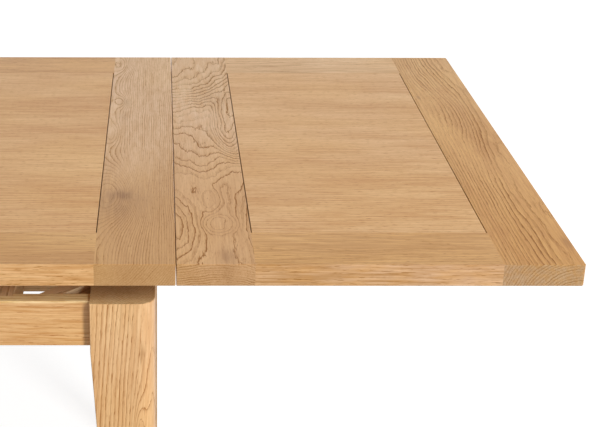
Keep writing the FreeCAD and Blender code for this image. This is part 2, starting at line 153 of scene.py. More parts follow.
def make_oak_group():
    """Solid oak in board coordinates: X runs along the grain, and the heart of the tree is the X axis."""
    group, given = make_group("oak_figure", {
        "Board": "Vector", "End Grain": "Float", "Seed": "Float", "Count": "Float", "Crowding": "Float",
        "Lines": "Float", "Streaks": "Float", "Pores": "Float",
        "Pale": "Color", "Warm": "Color", "Line": "Color", "End": "Color",
    }, {"Color": "Color", "Roughness": "Float", "Height": "Float"})
    board = given["Board"]
    seed = given["Seed"]

    # Each ring starts with a thin dark line of early wood that fades into the pale late wood
    jag = noise(group, board, seed, (55.0, 700.0, 700.0), 1.0).outputs["Fac"]
    jag_share = 0.4
    count = math(group, "MULTIPLY_ADD", math(group, "SUBTRACT", jag, 0.5), jag_share, given["Count"])
    past = math(group, "FRACT", count)

    def reach(metres, most):
        """A width across the board as a share of the ring, held down where the rings crowd."""
        return math(group, "MINIMUM", math(group, "MULTIPLY", given["Crowding"], metres), most)

    def dying_away(width):
        """One at the start of the ring, falling off over a width."""
        return math(group, "EXPONENT", math(group, "DIVIDE", math(group, "MULTIPLY", past, -1.0), width))

    line_width = reach(0.0011, 0.17)
    fade_width = reach(0.0028, 0.36)
    start_width = reach(0.0003, 0.08)
    line_share = 1.2
    fade_share = 0.5
    fade = dying_away(fade_width)
    line = math(group, "MULTIPLY", fade, fade_share)
    line = math(group, "MULTIPLY_ADD", dying_away(line_width), line_share, line)
    started = map_range(group, math(group, "DIVIDE", past, start_width), 0.0, 1.0)
    line = math(group, "MULTIPLY", line, started)

    # Some years are stronger than others, and each line comes and goes along the board
    year = add_node(group, "ShaderNodeTexNoise", noise_dimensions="1D")
    year_step = 0.37
    feed(group, year.inputs["W"], math(group, "MULTIPLY_ADD", count, year_step, seed))
    patch = noise(group, board, seed, (5.0, 26.0, 26.0), 2.0).outputs["Fac"]
    strength = math(group, "MULTIPLY", map_range(group, year.outputs["Fac"], 0.32, 0.62, 0.25, 1.0),
                    map_range(group, patch, 0.32, 0.6, 0.25, 1.0))
    line = math(group, "MULTIPLY", math(group, "MULTIPLY", line, strength), given["Lines"])
    end_loss = 0.35
    line = math(group, "MULTIPLY", line, math(group, "MULTIPLY_ADD", given["End Grain"], -end_loss, 1.0))

    # Long colour streaks, strands and fine fibres
    tone = 0.0
    grain_scales = (((3.2, 22.0, 22.0), 2.0, 1.3), ((9.0, 250.0, 250.0), 2.0, 0.6),
                    ((24.0, 620.0, 620.0), 3.0, 2.0), ((3.0, 7.0, 7.0), 2.0, 0.7))
    for stretch, detail, share in grain_scales:
        part = noise(group, board, seed, stretch, detail).outputs["Fac"]
        tone = math(group, "MULTIPLY_ADD", math(group, "SUBTRACT", part, 0.5), share, tone)
    tone = math(group, "MULTIPLY_ADD", tone, given["Streaks"], 0.5, clamp=True)

    # Short open pores follow the early wood
    dash = noise(group, board, seed, (110.0, 1000.0, 1000.0), 1.0).outputs["Fac"]
    late_share = 0.25
    in_early_wood = math(group, "MULTIPLY_ADD", fade, 1.0 - late_share, late_share)
    pore = math(group, "MULTIPLY", map_range(group, dash, 0.56, 0.68), in_early_wood)
    pore = math(group, "MULTIPLY", pore, given["Pores"])

    dark = math(group, "ADD", line, pore, clamp=True)
    colour = mix_colour(group, tone, given["Pale"], given["Warm"])
    golden = (1.0, 0.985, 0.90, 1.0)
    cloud = map_range(group, noise(group, board, seed, (6.0, 12.0, 12.0), 1.0).outputs["Fac"], 0.35, 0.65)
    colour = mix_colour(group, cloud, colour, golden, "MULTIPLY")
    colour = mix_colour(group, dark, colour, given["Line"])
    colour = mix_colour(group, given["End Grain"], colour, given["End"], "MULTIPLY")
    satin = 0.40
    pore_dullness = 0.18
    end_dullness = 0.15
    roughness = math(group, "MULTIPLY_ADD", dark, pore_dullness, satin)
    roughness = math(group, "MULTIPLY_ADD", given["End Grain"], end_dullness, roughness)
    streak_rise = 0.35
    height = math(group, "MULTIPLY_ADD", tone, streak_rise, math(group, "MULTIPLY", dark, -1.0))

    result = group.nodes.new("NodeGroupOutput")
    feed(group, result.inputs["Color"], colour)
    feed(group, result.inputs["Roughness"], roughness)
    feed(group, result.inputs["Height"], height)
    return group


ring_group = make_ring_group()
oak_group = make_oak_group()


def make_spot_group():
    """One inside an oval on the board, falling away gently with a rim of 1 and steeply with a rim of 3."""
    group, given = make_group("board_spot", {
        "Place": "Vector", "Centre": "Vector", "Nearness": "Vector",
        "Rim": "Float", "Amount": "Float", "Before": "Float"}, {"Sum": "Float"})
    away = vector_math(group, "SUBTRACT", given["Place"], given["Centre"])
    away = vector_math(group, "MULTIPLY", away, given["Nearness"])
    steep = math(group, "POWER", vector_math(group, "DOT_PRODUCT", away, away), given["Rim"])
    fall = math(group, "EXPONENT", math(group, "MULTIPLY", steep, -1.0))
    total = math(group, "MULTIPLY_ADD", fall, given["Amount"], given["Before"])
    feed(group, group.nodes.new("NodeGroupOutput").inputs["Sum"], total)
    return group


spot_group = make_spot_group()


def spots(tree, place, listed):
    """Sum of ovals, each listed as centre, reach along each axis (0 is endless), rim and amount."""
    total = 0.0
    for centre, reach, rim, amount in listed:
        spot = add_node(tree, "ShaderNodeGroup", node_tree=spot_group)
        feed(tree, spot.inputs["Place"], place)
        spot.inputs["Centre"].default_value = centre
        spot.inputs["Nearness"].default_value = tuple(1 / far if far else 0.0 for far in reach)
        spot.inputs["Rim"].default_value = rim
        spot.inputs["Amount"].default_value = amount
        feed(tree, spot.inputs["Before"], total)
        total = spot.outputs["Sum"]
    return total


grain_turns = {
    "along_x": (0.0, 0.0, 0.0),
    "along_y": (0.0, 0.0, -pi / 2),
    "along_z": (0.0, pi / 2, 0.0),
    "rising_diagonal": (0.0, 0.0, -pi / 4),
    "falling_diagonal": (0.0, 0.0, pi / 4),
}
pale_oak = srgb(216, 172, 120)
warm_oak = srgb(190, 139, 84)
line_oak = srgb(136, 84, 10)
end_oak = (0.855, 0.90, 1.04, 1.0)
stain = (0.42, 0.30, 0.12, 1.0)


def oak(name, grain, heart, seed, spacing=0.003, sway=0.01, sway_scale=1.0, ripple=0.0, ripple_scale=1.0,
        lines=0.5, streaks=1.0, pores=0.4, pale=pale_oak, warm=warm_oak, line=line_oak, end=end_oak,
        lean=0.0, swells=(), tints=(), gloss=0.4):
    """Satin oiled oak. Heart is a point that the centre line of the tree passes through, in metres."""
    material = bpy.data.materials.new(name)
    material.use_nodes = True
    tree = material.node_tree
    surface = tree.nodes["Principled BSDF"]
    turn = tuple(Vector(grain_turns[grain]) + Vector((0.0, lean, 0.0)))
    place = add_node(tree, "ShaderNodeTexCoord").outputs

    def board_place(step):
        """A point beside this one, and the same point in board coordinates."""
        beside = vector_math(tree, "ADD", place["Object"], step)
        board = add_node(tree, "ShaderNodeMapping", vector_type="POINT")
        board.inputs["Rotation"].default_value = turn
        board.inputs["Location"].default_value = -(Euler(turn).to_matrix() @ Vector(heart))
        feed(tree, board.inputs["Vector"], beside)
        return beside, board.outputs[0]

    # The rings are counted here and a little along each axis, which tells how close they crowd on this face
    probe = 0.0004
    counts = []
    for step in ((0.0, 0.0, 0.0), (probe, 0.0, 0.0), (0.0, probe, 0.0), (0.0, 0.0, probe)):
        beside, board = board_place(step)
        rings = add_node(tree, "ShaderNodeGroup", node_tree=ring_group)
        settings = {"Board": board, "Seed": seed, "Ring Spacing": spacing, "Sway": sway,
                    "Sway Scale": sway_scale, "Ripple": ripple, "Ripple Scale": ripple_scale,
                    "Push": spots(tree, beside, swells)}
        for socket, source in settings.items():
            feed(tree, rings.inputs[socket], source)
        counts.append(rings.outputs["Count"])
    climb = add_node(tree, "ShaderNodeCombineXYZ")
    for socket, there in zip(climb.inputs, counts[1:]):
        feed(tree, socket, math(tree, "DIVIDE", math(tree, "SUBTRACT", there, counts[0]), probe))
    through = vector_math(tree, "DOT_PRODUCT", climb.outputs[0], place["Normal"])
    inward = scaled(tree, place["Normal"], through)
    crowding = vector_math(tree, "LENGTH", vector_math(tree, "SUBTRACT", climb.outputs[0], inward))

    facing = add_node(tree, "ShaderNodeMapping", vector_type="NORMAL")
    facing.inputs["Rotation"].default_value = turn
    feed(tree, facing.inputs["Vector"], place["Normal"])
    split = add_node(tree, "ShaderNodeSeparateXYZ")
    feed(tree, split.inputs[0], facing.outputs[0])
    end_grain = map_range(tree, math(tree, "ABSOLUTE", split.outputs["X"]), 0.6, 0.95)
    board = board_place((0.0, 0.0, 0.0))[1]
    figure = add_node(tree, "ShaderNodeGroup", node_tree=oak_group)
    settings = {"Board": board, "End Grain": end_grain, "Seed": seed, "Count": counts[0],
                "Crowding": crowding, "Lines": lines, "Streaks": streaks, "Pores": pores,
                "Pale": pale, "Warm": warm, "Line": line, "End": end}
    for socket, source in settings.items():
        feed(tree, figure.inputs[socket], source)
    bump = add_node(tree, "ShaderNodeBump")
    bump.inputs["Strength"].default_value = 0.25
    bump.inputs["Distance"].default_value = 0.0004
    feed(tree, bump.inputs["Height"], figure.outputs["Height"])
    colour = figure.outputs["Color"]
    for tint, listed in tints:
        broken = noise(tree, board, seed, (30.0, 160.0, 160.0), 3.0).outputs["Fac"]
        share = math(tree, "MULTIPLY", spots(tree, place["Object"], listed),
                     map_range(tree, broken, 0.25, 0.75, 0.5, 1.3), clamp=True)
        colour = mix_colour(tree, share, colour, tint, "MULTIPLY")
    feed(tree, surface.inputs["Base Color"], colour)
    feed(tree, surface.inputs["Roughness"], figure.outputs["Roughness"])
    feed(tree, surface.inputs["Normal"], bump.outputs["Normal"])
    surface.inputs["Specular IOR Level"].default_value = gloss
    return material


def paint(node, material):
    """Give a carried-over solid its finish."""
    for held in nodes[node].material_slots:
        held.material = material


def middle(node):
    low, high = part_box(node)
    return (low + high) / 2


corner_words = ("front_left", "front_right", "back_right", "back_left")
for number, word in enumerate(corner_words):
    centre = middle(f"{word}_leg")
    flame = ((centre.x + 0.0185, 0.0, 0.530), (0.007, 0.0, 0.04), 1.0, 0.010)
    mark = ((centre.x + 0.022, centre.y - 0.03, 0.632), (0.003, 0.03, 0.012), 1.0, 0.5)
    heart = centre + Vector((-0.11, 0.05, 0.0))
    paint(f"{word}_leg", oak(f"oak_{word}_leg", "along_z", heart, 3.1 + 7.3 * number, spacing=0.0034,
                             sway=0.014, ripple=0.004, lines=0.85, pores=0.65, lean=-0.06,
                             pale=srgb(231, 193, 146), warm=srgb(208, 161, 111), line=srgb(152, 98, 40),
                             end=(0.86, 0.94, 0.97, 1.0), swells=(flame,), tints=((stain, (mark,)),)))


# Foot glides
# A round glide under each leg lets the table slide and keeps the end grain off the floor.
# It is moulded in dark plastic, dull and scuffed, with a pin that is driven up into the leg.

def plain_finish(name, colour, worn, roughness, metallic=0.0, speckle=900.0):
    """Plastic or metal with a fine mottle in its colour and gloss."""
    material = bpy.data.materials.new(name)
    material.use_nodes = True
    tree = material.node_tree
    surface = tree.nodes["Principled BSDF"]
    place = add_node(tree, "ShaderNodeTexCoord")
    mottle = noise(tree, place.outputs["Object"], 2.0, (speckle, speckle, speckle), 3.0).outputs["Fac"]
    patchy = mix_colour(tree, map_range(tree, mottle, 0.35, 0.7), colour, worn)
    spread = 0.08
    dulled = map_range(tree, mottle, 0.3, 0.7, roughness - spread, roughness + spread)
    feed(tree, surface.inputs["Base Color"], patchy)
    feed(tree, surface.inputs["Roughness"], dulled)
    surface.inputs["Metallic"].default_value = metallic
    return material


glide_plastic = plain_finish("glide_plastic", srgb(66, 58, 50), srgb(92, 84, 76), roughness=0.6)
for word in corner_words:
    paint(f"{word}_glide", glide_plastic)


# Aprons
# Four oak boards tie the legs together under the leaves, the end ones notched for the lopers.
# They are screwed to the corner braces. Their sawn top edges are paler than the oiled faces and carry painted
# light.

# Paler raw-sawn wood on the apron tops, made lighter and whiter still as painted light in the shade under the
# leaves
raw_top_and_painted_light = (1.35, 1.77, 2.16, 1.0)
for number, word in enumerate(("front", "back", "left", "right")):
    grain = "along_x" if word in ("front", "back") else "along_y"
    heart = middle(f"{word}_apron") + Vector((0.07, 0.07, -0.05))
    lit_raw_top = ((0.0, 0.0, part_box(f"{word}_apron")[1].z + 0.001), (0.0, 0.0, 0.003), 2.0, 1.0)
    paint(f"{word}_apron", oak(f"oak_{word}_apron", grain, heart, 11.7 + 5.9 * number, spacing=0.0045,
                               sway=0.02, ripple=0.004, lines=0.7, pores=0.6, streaks=1.6,
                               pale=srgb(220, 176, 123), warm=srgb(189, 135, 74), line=srgb(160, 98, 34),
                               tints=((raw_top_and_painted_light, (lit_raw_top,)),)))


# Corner braces
# A block of oak spans each corner between two aprons and takes the hanger bolt of the leg.
# Like everything inside the base it is left raw, pale and dull.

raw_pale = srgb(234, 202, 160)
raw_warm = srgb(216, 178, 132)
for number, word in enumerate(corner_words):
    grain = "falling_diagonal" if word in ("front_left", "back_right") else "rising_diagonal"
    heart = middle(f"{word}_brace") + Vector((0.0, 0.0, -0.08))
    paint(f"{word}_brace", oak(f"oak_{word}_brace", grain, heart, 31.0 + 3.7 * number, spacing=0.004,
                               sway=0.012, gloss=0.0, pale=raw_pale, warm=raw_warm))


# Bolts, washers, nuts and screws
# Zinc-plated steel: hanger bolts pull the legs against the braces, screws hold braces, board and lopers.
# Bolts and screws have rolled threads, the screws cross-slotted heads and the nuts turned corners.

crease_angle = 0.6
zinc = plain_finish("zinc_plate", srgb(176, 178, 184), srgb(150, 152, 158), roughness=0.34, metallic=1.0,
                    speckle=1500.0)
paint("bolt_washers", zinc)


def geometry_tree(name, sizes):
    """A Geometry Nodes tree that takes points, named sizes and a material."""
    tree = bpy.data.node_groups.new(name, "GeometryNodeTree")
    tree.interface.new_socket("Points", in_out="INPUT", socket_type="NodeSocketGeometry")
    for size in sizes:
        tree.interface.new_socket(size, in_out="INPUT", socket_type="NodeSocketFloat")
    tree.interface.new_socket("Material", in_out="INPUT", socket_type="NodeSocketMaterial")
    tree.interface.new_socket("Geometry", in_out="OUTPUT", socket_type="NodeSocketGeometry")
    return tree, add_node(tree, "NodeGroupInput").outputs


def made_by(tree, kind, sizes, **settings):
    made = add_node(tree, kind, **settings)
    for socket, size in sizes.items():
        feed(tree, made.inputs[socket], size)
    return made


def along_axis(tree, height):
    upright = add_node(tree, "ShaderNodeCombineXYZ")
    feed(tree, upright.inputs["Z"], height)
    return upright.outputs[0]


def threaded_rod(tree, radius, length, pitch, depth, tip):
    """A rod from the origin down, pressed in along a helix and drawn to a tip at its foot."""
    steps_per_turn = 4.0
    tip_share = 0.15
    steps = math(tree, "MULTIPLY", math(tree, "DIVIDE", length, pitch), steps_per_turn)
    rod = made_by(tree, "GeometryNodeMeshCylinder",
                  {"Vertices": 24, "Side Segments": steps, "Radius": radius, "Depth": length})
    place = add_node(tree, "GeometryNodeInputPosition").outputs[0]
    split = made_by(tree, "ShaderNodeSeparateXYZ", {"Vector": place}).outputs
    turn = math(tree, "DIVIDE", math(tree, "ARCTAN2", split["Y"], split["X"]), 2 * pi)
    helix = math(tree, "SUBTRACT", math(tree, "DIVIDE", split["Z"], pitch), turn)
    groove = math(tree, "MULTIPLY", math(tree, "PINGPONG", helix, 0.5), math(tree, "DIVIDE", depth, radius))
    from_foot = math(tree, "ADD", split["Z"], math(tree, "DIVIDE", length, 2.0))
    drawn = map_range(tree, math(tree, "DIVIDE", from_foot, tip), 0.0, 1.0, tip_share, 1.0)
    share = math(tree, "MULTIPLY", drawn, math(tree, "SUBTRACT", 1.0, math(tree, "MULTIPLY", groove, 2.0)))
    narrowed = add_node(tree, "ShaderNodeCombineXYZ")
    feed(tree, narrowed.inputs["X"], math(tree, "MULTIPLY", split["X"], share))
    feed(tree, narrowed.inputs["Y"], math(tree, "MULTIPLY", split["Y"], share))
    feed(tree, narrowed.inputs["Z"], math(tree, "SUBTRACT", split["Z"], math(tree, "DIVIDE", length, 2.0)))
    return made_by(tree, "GeometryNodeSetPosition",
                   {"Geometry": rod.outputs["Mesh"], "Position": narrowed.outputs[0]}).outputs[0]


def screw_head(tree, sizes):
    """A head on the origin, domed on top and cut with a cross slot."""
    cone = made_by(tree, "GeometryNodeMeshCone", {
        "Vertices": 32, "Fill Segments": 5, "Radius Top": sizes["Head Radius"],
        "Radius Bottom": sizes["Seat Radius"], "Depth": sizes["Head Height"]}, fill_type="TRIANGLE_FAN")
    place = add_node(tree, "GeometryNodeInputPosition").outputs[0]
    flat = vector_math(tree, "MULTIPLY", place, (1.0, 1.0, 0.0))
    outward = math(tree, "DIVIDE", vector_math(tree, "LENGTH", flat), sizes["Head Radius"])
    deepest = math(tree, "MULTIPLY", sizes["Dome"], -1.0)
    sink = math(tree, "MULTIPLY", math(tree, "POWER", outward, 2.0), deepest)
    domed = made_by(tree, "GeometryNodeSetPosition", {
        "Geometry": cone.outputs["Mesh"], "Selection": cone.outputs["Top"], "Offset": along_axis(tree, sink)})
    cut = made_by(tree, "GeometryNodeMeshBoolean", {"Mesh 1": domed.outputs[0]}, operation="DIFFERENCE",
                  solver="EXACT")
    for across, along in (("X", "Y"), ("Y", "X")):
        size = add_node(tree, "ShaderNodeCombineXYZ")
        feed(tree, size.inputs[across], sizes["Slot Width"])
        feed(tree, size.inputs[along], sizes["Slot Span"])
        feed(tree, size.inputs["Z"], math(tree, "MULTIPLY", sizes["Slot Depth"], 2.0))
        blade = made_by(tree, "GeometryNodeMeshCube", {"Size": size.outputs[0]})
        raised = made_by(tree, "GeometryNodeTransform", {
            "Geometry": blade.outputs["Mesh"], "Translation": along_axis(tree, sizes["Head Height"])})
        feed(tree, cut.inputs["Mesh 2"], raised.outputs[0])
    return cut.outputs["Mesh"]


def set_on_points(tree, given, kinds):
    """Stand a fastener on each point, picked and turned by the point's own attributes."""
    choice = add_node(tree, "GeometryNodeGeometryToInstance")
    for kind in reversed(kinds):  # a socket of many links puts its last link first
        feed(tree, choice.inputs[0], kind)
    pick = made_by(tree, "GeometryNodeInputNamedAttribute", {"Name": "pick"}, data_type="INT")
    turn = made_by(tree, "GeometryNodeInputNamedAttribute", {"Name": "turn"}, data_type="FLOAT_VECTOR")
    stood = made_by(tree, "GeometryNodeInstanceOnPoints", {
        "Points": given["Points"], "Instance": choice.outputs[0], "Pick Instance": True,
        "Instance Index": pick.outputs["Attribute"], "Rotation": turn.outputs["Attribute"]})
    whole = made_by(tree, "GeometryNodeRealizeInstances", {"Geometry": stood.outputs[0]})
    dressed = made_by(tree, "GeometryNodeSetMaterial",
                      {"Geometry": whole.outputs[0], "Material": given["Material"]})
    feed(tree, add_node(tree, "NodeGroupOutput").inputs["Geometry"], dressed.outputs[0])
    return tree


def screw_tree():
    tree, given = geometry_tree("screws", (
        "Shank Radius", "Shank Length", "Short Shank Length", "Pitch", "Thread Depth", "Tip",
        "Head Radius", "Seat Radius", "Head Height", "Dome", "Slot Width", "Slot Span", "Slot Depth"))
    kinds = []
    for length in ("Shank Length", "Short Shank Length"):
        screw = add_node(tree, "GeometryNodeJoinGeometry")
        feed(tree, screw.inputs[0], screw_head(tree, given))
        feed(tree, screw.inputs[0], threaded_rod(tree, given["Shank Radius"], given[length], given["Pitch"],
                                                 given["Thread Depth"], given["Tip"]))
        kinds.append(screw.outputs[0])
    return set_on_points(tree, given, kinds)


def bolt_tree():
    tree, given = geometry_tree("hanger_bolts", ("Radius", "Length", "Pitch", "Thread Depth", "Tip"))
    rod = threaded_rod(tree, *(given[size] for size in ("Radius", "Length", "Pitch", "Thread Depth", "Tip")))
    return set_on_points(tree, given, [rod])


def nut_tree():
    tree, given = geometry_tree("hex_nuts", ("Corner Radius", "Thickness", "Bore Radius", "Turning Radius"))
    prism = made_by(tree, "GeometryNodeMeshCylinder",
                    {"Vertices": 6, "Radius": given["Corner Radius"], "Depth": given["Thickness"]})
    ball = made_by(tree, "GeometryNodeMeshUVSphere",
                   {"Segments": 96, "Rings": 48, "Radius": given["Turning Radius"]})
    turned = add_node(tree, "GeometryNodeMeshBoolean", operation="INTERSECT", solver="EXACT")
    for solid in (prism, ball):
        feed(tree, turned.inputs["Mesh 2"], solid.outputs["Mesh"])
    right_through = math(tree, "MULTIPLY", given["Thickness"], 2.0)
    drill = made_by(tree, "GeometryNodeMeshCylinder",
                    {"Vertices": 32, "Radius": given["Bore Radius"], "Depth": right_through})
    bored = made_by(tree, "GeometryNodeMeshBoolean",
                    {"Mesh 1": turned.outputs["Mesh"], "Mesh 2": drill.outputs["Mesh"]},
                    operation="DIFFERENCE", solver="EXACT")
    return set_on_points(tree, given, [bored.outputs["Mesh"]])


def fastener_set(work, node, body, tree, sizes, places):
    """Fasteners on places (spot, axis, pick), as a plain mesh that stands for the node."""
    points = bpy.data.meshes.new(f"{node}_points")
    points.from_pydata([spot for spot, axis, pick in places], [], [])
    points.attributes.new("turn", "FLOAT_VECTOR", "POINT")
    points.attributes.new("pick", "INT", "POINT")
    for number, (spot, axis, pick) in enumerate(places):
        points.attributes["turn"].data[number].vector = Vector(axis).to_track_quat("Z", "X").to_euler()
        points.attributes["pick"].data[number].value = pick
    holder = bpy.data.objects.new(f"{node}_points", points)
    bpy.context.scene.collection.objects.link(holder)
    modifier = holder.modifiers.new("fasteners", "NODES")
    modifier.node_group = tree
    for item in tree.interface.items_tree:
        if item.in_out == "INPUT" and item.name != "Points":
            modifier[item.identifier] = zinc if item.name == "Material" else sizes[item.name]
    mesh = bpy.data.meshes.new_from_object(holder.evaluated_get(bpy.context.evaluated_depsgraph_get()))
    bpy.data.objects.remove(holder)
    # The cuts leave an empty slot beside the zinc, so the finish is set once more
    mesh.materials.clear()
    mesh.materials.append(zinc)
    mesh.shade_smooth()
    mesh.set_sharp_from_angle(angle=crease_angle)
    piece = bpy.data.objects.new(f"{work}_{node}", mesh)
    bpy.context.scene.collection.objects.link(piece)
    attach(piece, body)
    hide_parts(node)


def corner_spots(node, inset):
    """Points moved in from the corners of a node's box, each with its way towards the middle."""
    low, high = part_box(node)
    level = (low.z + high.z) / 2
    found = []
    for way_x in (1, -1):
        for way_y in (1, -1):
            x = low.x + inset if way_x > 0 else high.x - inset
            y = low.y + inset if way_y > 0 else high.y - inset
            found.append((Vector((x, y, level)), Vector((way_x, way_y, 0.0)).normalized()))
    return found


bolt_sizes = {"Radius": 0.004, "Length": 0.076, "Pitch": 0.00125, "Thread Depth": 0.0007, "Tip": 0.001}
inner_end = (bolt_sizes["Length"] + bolt_sizes["Radius"]) * cos(pi / 4)
fastener_set("threaded", "hanger_bolts", "base", bolt_tree(), bolt_sizes,
             [(spot, way, 0) for spot, way in corner_spots("hanger_bolts", inner_end)])

nut_sizes = {"Corner Radius": 0.0075, "Thickness": 0.0065, "Bore Radius": 0.004, "Turning Radius": 0.0078}
across_flats = 2 * nut_sizes["Corner Radius"] * cos(pi / 6)
nut_middle = (nut_sizes["Thickness"] + across_flats) / 2 * cos(pi / 4)
fastener_set("turned", "hex_nuts", "base", nut_tree(), nut_sizes,
             [(spot, way, 0) for spot, way in corner_spots("hex_nuts", nut_middle)])

screws = screw_tree()
pan_head = {
    "Shank Radius": 0.00225, "Pitch": 0.0016, "Thread Depth": 0.0006, "Tip": 0.005,
    "Head Radius": 0.0045, "Seat Radius": 0.0045, "Head Height": 0.004, "Dome": 0.0013,
    "Slot Width": 0.0011, "Slot Span": 0.0052, "Slot Depth": 0.0019,
}
countersunk = pan_head | {"Seat Radius": 0.00225, "Dome": 0.0}

brace_bite = 0.013
brace_seat = 0.009
from_brace_end = 0.0177
places = []
for word in corner_words:
    low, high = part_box(f"{word}_brace")
    way_x = 1 if word.endswith("left") else -1
    way_y = 1 if word.startswith("front") else -1
    outer_x, inner_x = (low.x, high.x) if way_x > 0 else (high.x, low.x)
    outer_y, inner_y = (low.y, high.y) if way_y > 0 else (high.y, low.y)
    level = middle(f"{word}_brace").z
    places.append(((inner_x - way_x * from_brace_end, outer_y + way_y * brace_seat, level), (0, way_y, 0), 0))
    places.append(((outer_x + way_x * brace_seat, inner_y - way_y * from_brace_end, level), (way_x, 0, 0), 0))
brace_shank = brace_bite + brace_seat
fastener_set("threaded", "brace_screws", "base", screws,
             pan_head | {"Shank Length": brace_shank, "Short Shank Length": brace_shank}, places)

low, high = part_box("centre_board_screws")
board_shank = high.z - low.z - countersunk["Head Height"]
places = [((spot.x, spot.y, low.z + board_shank), (0, 0, 1), 0)
          for spot, way in corner_spots("centre_board_screws", countersunk["Head Radius"])]
fastener_set("threaded", "centre_board_screws", "base", screws,
             countersunk | {"Shank Length": board_shank, "Short Shank Length": board_shank}, places)

slope = frame["joints"][0]["axis"][2] / abs(frame["joints"][0]["axis"][0])
for side, inner_way in (("left", -1), ("right", 1)):
    node = f"{side}_loper_screws"
    low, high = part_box(node)
    long_shank = high.z - low.z - pan_head["Head Height"]
    climb = slope * (high.x - low.x - 2 * pan_head["Head Radius"])
    places = []
    for spot, way in corner_spots(node, pan_head["Head Radius"]):
        outer = way.x * inner_way < 0
        seat = low.z + pan_head["Head Height"] + (climb if outer else 0.0)
        places.append(((spot.x, spot.y, seat), (0, 0, -1), 1 if outer else 0))
    fastener_set("threaded", node, f"{side}_leaf", screws,
                 pan_head | {"Shank Length": long_shank, "Short Shank Length": long_shank - climb}, places)


# Cross rails and loper guides
# Inside the base two raw oak rails, housed in the long aprons, are notched for the lopers to run in.
# Short strips of the same oak reach from each rail to the end apron and keep the lopers straight.

for number, word in enumerate(("left", "right")):
    heart = middle(f"{word}_cross_rail") + Vector((0.05, 0.0, -0.07))
    rail = oak(f"oak_{word}_cross_rail", "along_y", heart, 41.0 + 2.9 * number, spacing=0.004, gloss=0.0,
               pale=raw_pale, warm=raw_warm)
    paint(f"{word}_cross_rail", rail)
    for row in ("front", "back"):
        heart = middle(f"{row}_{word}_loper_guide") + Vector((0.0, 0.06, -0.06))
        strip = oak(f"oak_{row}_{word}_guide", "along_x", heart, 47.0 + number, spacing=0.003, gloss=0.0,
                    pale=raw_pale, warm=raw_warm)
        paint(f"{row}_{word}_loper_guide", strip)


# Centre board
# A fixed oak board across the middle, as thick as the leaf slot, on which the main top comes down.
# It is screwed down on the long aprons and bored for the guide pegs.

heart = middle("centre_board") + Vector((0.06, 0.0, -0.22))
paint("centre_board", oak("oak_centre_board", "along_y", heart, 53.0, spacing=0.004, sway=0.02, lines=0.6,
                          gloss=0.1))


# Lopers and stop pegs
# Two sloping oak bars are screwed under each leaf and carry it out and up as it is drawn.
# An oak peg near the tail of each bar stops the draw against the cross rail.

peg_oak = oak("oak_pegs", "along_y", (0.0, 0.0, 0.6), 67.0, spacing=0.003)
for number, side in enumerate(("left", "right")):
    paint(f"{side}_stop_pegs", peg_oak)
    for row in ("front", "back"):
        heart = middle(f"{side}_{row}_loper") + Vector((0.0, 0.05, -0.15))
        bar = oak(f"oak_{side}_{row}_loper", "along_x", heart, 59.0 + 1.7 * number, spacing=0.0035,
                  sway=0.012, gloss=0.1)
        paint(f"{side}_{row}_loper", bar)


# Leaf and main top frames
# Solid oak stiles run across the full width with their grain along Y, and rails are tenoned between them.
# Each board is sawn from another part of a tree, so each has its own figure, swirls and stains.

# Paler and bluer far parts of the tops: painted sheen of the white backdrop at grazing angles, over a paler
# tone of the boards themselves
far_sheen_and_tone = (1.12, 1.25, 1.55, 1.0)
# Tint for the near end face of the right leaf's outer stile, making it paler and bluer
near_end_tint = (0.90, 1.075, 1.88, 1.0)


def frame_piece(node, grain, shift, seed, **figure):
    paint(node, oak(f"oak_{node}", grain, middle(node) + Vector(shift), seed, **figure))


# The first tint of this stile makes its far half paler and bluer: painted sheen at grazing angles over the
# board's own paler tone
frame_piece("right_leaf_left_stile", "along_y", (0.005, 0.0, -0.30), 71.3, spacing=0.0028,
            sway=0.012, sway_scale=1.5, ripple=0.013, ripple_scale=0.9, lines=1.5, streaks=0.7, pores=0.6,
            pale=srgb(214, 169, 117), warm=srgb(188, 138, 84),
            swells=(((0.414, 0.40, 0.0), (0.080, 0.53, 0.0), 5.0, 0.019),
                    ((0.473, 0.06, 0.0), (0.040, 0.15, 0.0), 2.5, 0.020),
                    ((0.395, 0.43, 0.0), (0.100, 0.27, 0.0), 2.0, 0.038),
                    ((0.420, -0.215, 0.0), (0.013, 0.038, 0.0), 2.0, 0.006),
                    ((0.428, -0.288, 0.0), (0.022, 0.026, 0.0), 2.0, -0.007),
                    ((0.373, -0.300, 0.0), (0.030, 0.120, 0.0), 1.0, 0.015),
                    ((0.472, -0.300, 0.0), (0.024, 0.110, 0.0), 1.0, 0.009)),
            tints=(((1.145, 1.37, 2.02, 1.0), (((0.42, 0.38, 0.0), (0.30, 0.44, 0.0), 2.0, 0.75),)),
                   (stain, (((0.433, -0.378, 0.0), (0.009, 0.022, 0.0), 1.0, 0.55),
                            ((0.433, 0.19, 0.0), (0.028, 0.05, 0.0), 1.0, 0.18)))))
# The first tint of this stile makes its far half paler and bluer: painted sheen at grazing angles over the
# board's own paler tone
frame_piece("right_leaf_right_stile", "along_y", (0.037, 0.0, -0.035), 73.9, spacing=0.0033,
            sway=0.018, sway_scale=1.1, ripple=0.009, lines=1.3, streaks=0.8, pores=0.6,
            pale=srgb(211, 160, 91), warm=srgb(182, 125, 59), line=srgb(130, 78, 4),
            swells=(((0.780, 0.12, 0.0), (0.035, 0.14, 0.0), 1.0, 0.017),),
            tints=(((1.25, 1.55, 2.40, 1.0), (((0.78, 0.50, 0.0), (0.30, 0.45, 0.0), 1.5, 0.5),)),
                   # The near end face is made paler and bluer
                   (near_end_tint, (((0.78, -0.401, 0.0), (0.0, 0.002, 0.0), 2.0, 1.0),)),
                   (stain, (((0.820, -0.34, 0.0), (0.005, 0.018, 0.0), 1.0, 0.5),
                            ((0.7435, 0.19, 0.0), (0.003, 0.008, 0.0), 1.0, 0.5),
                            ((0.822, 0.22, 0.0), (0.004, 0.02, 0.0), 1.0, 0.35)))))
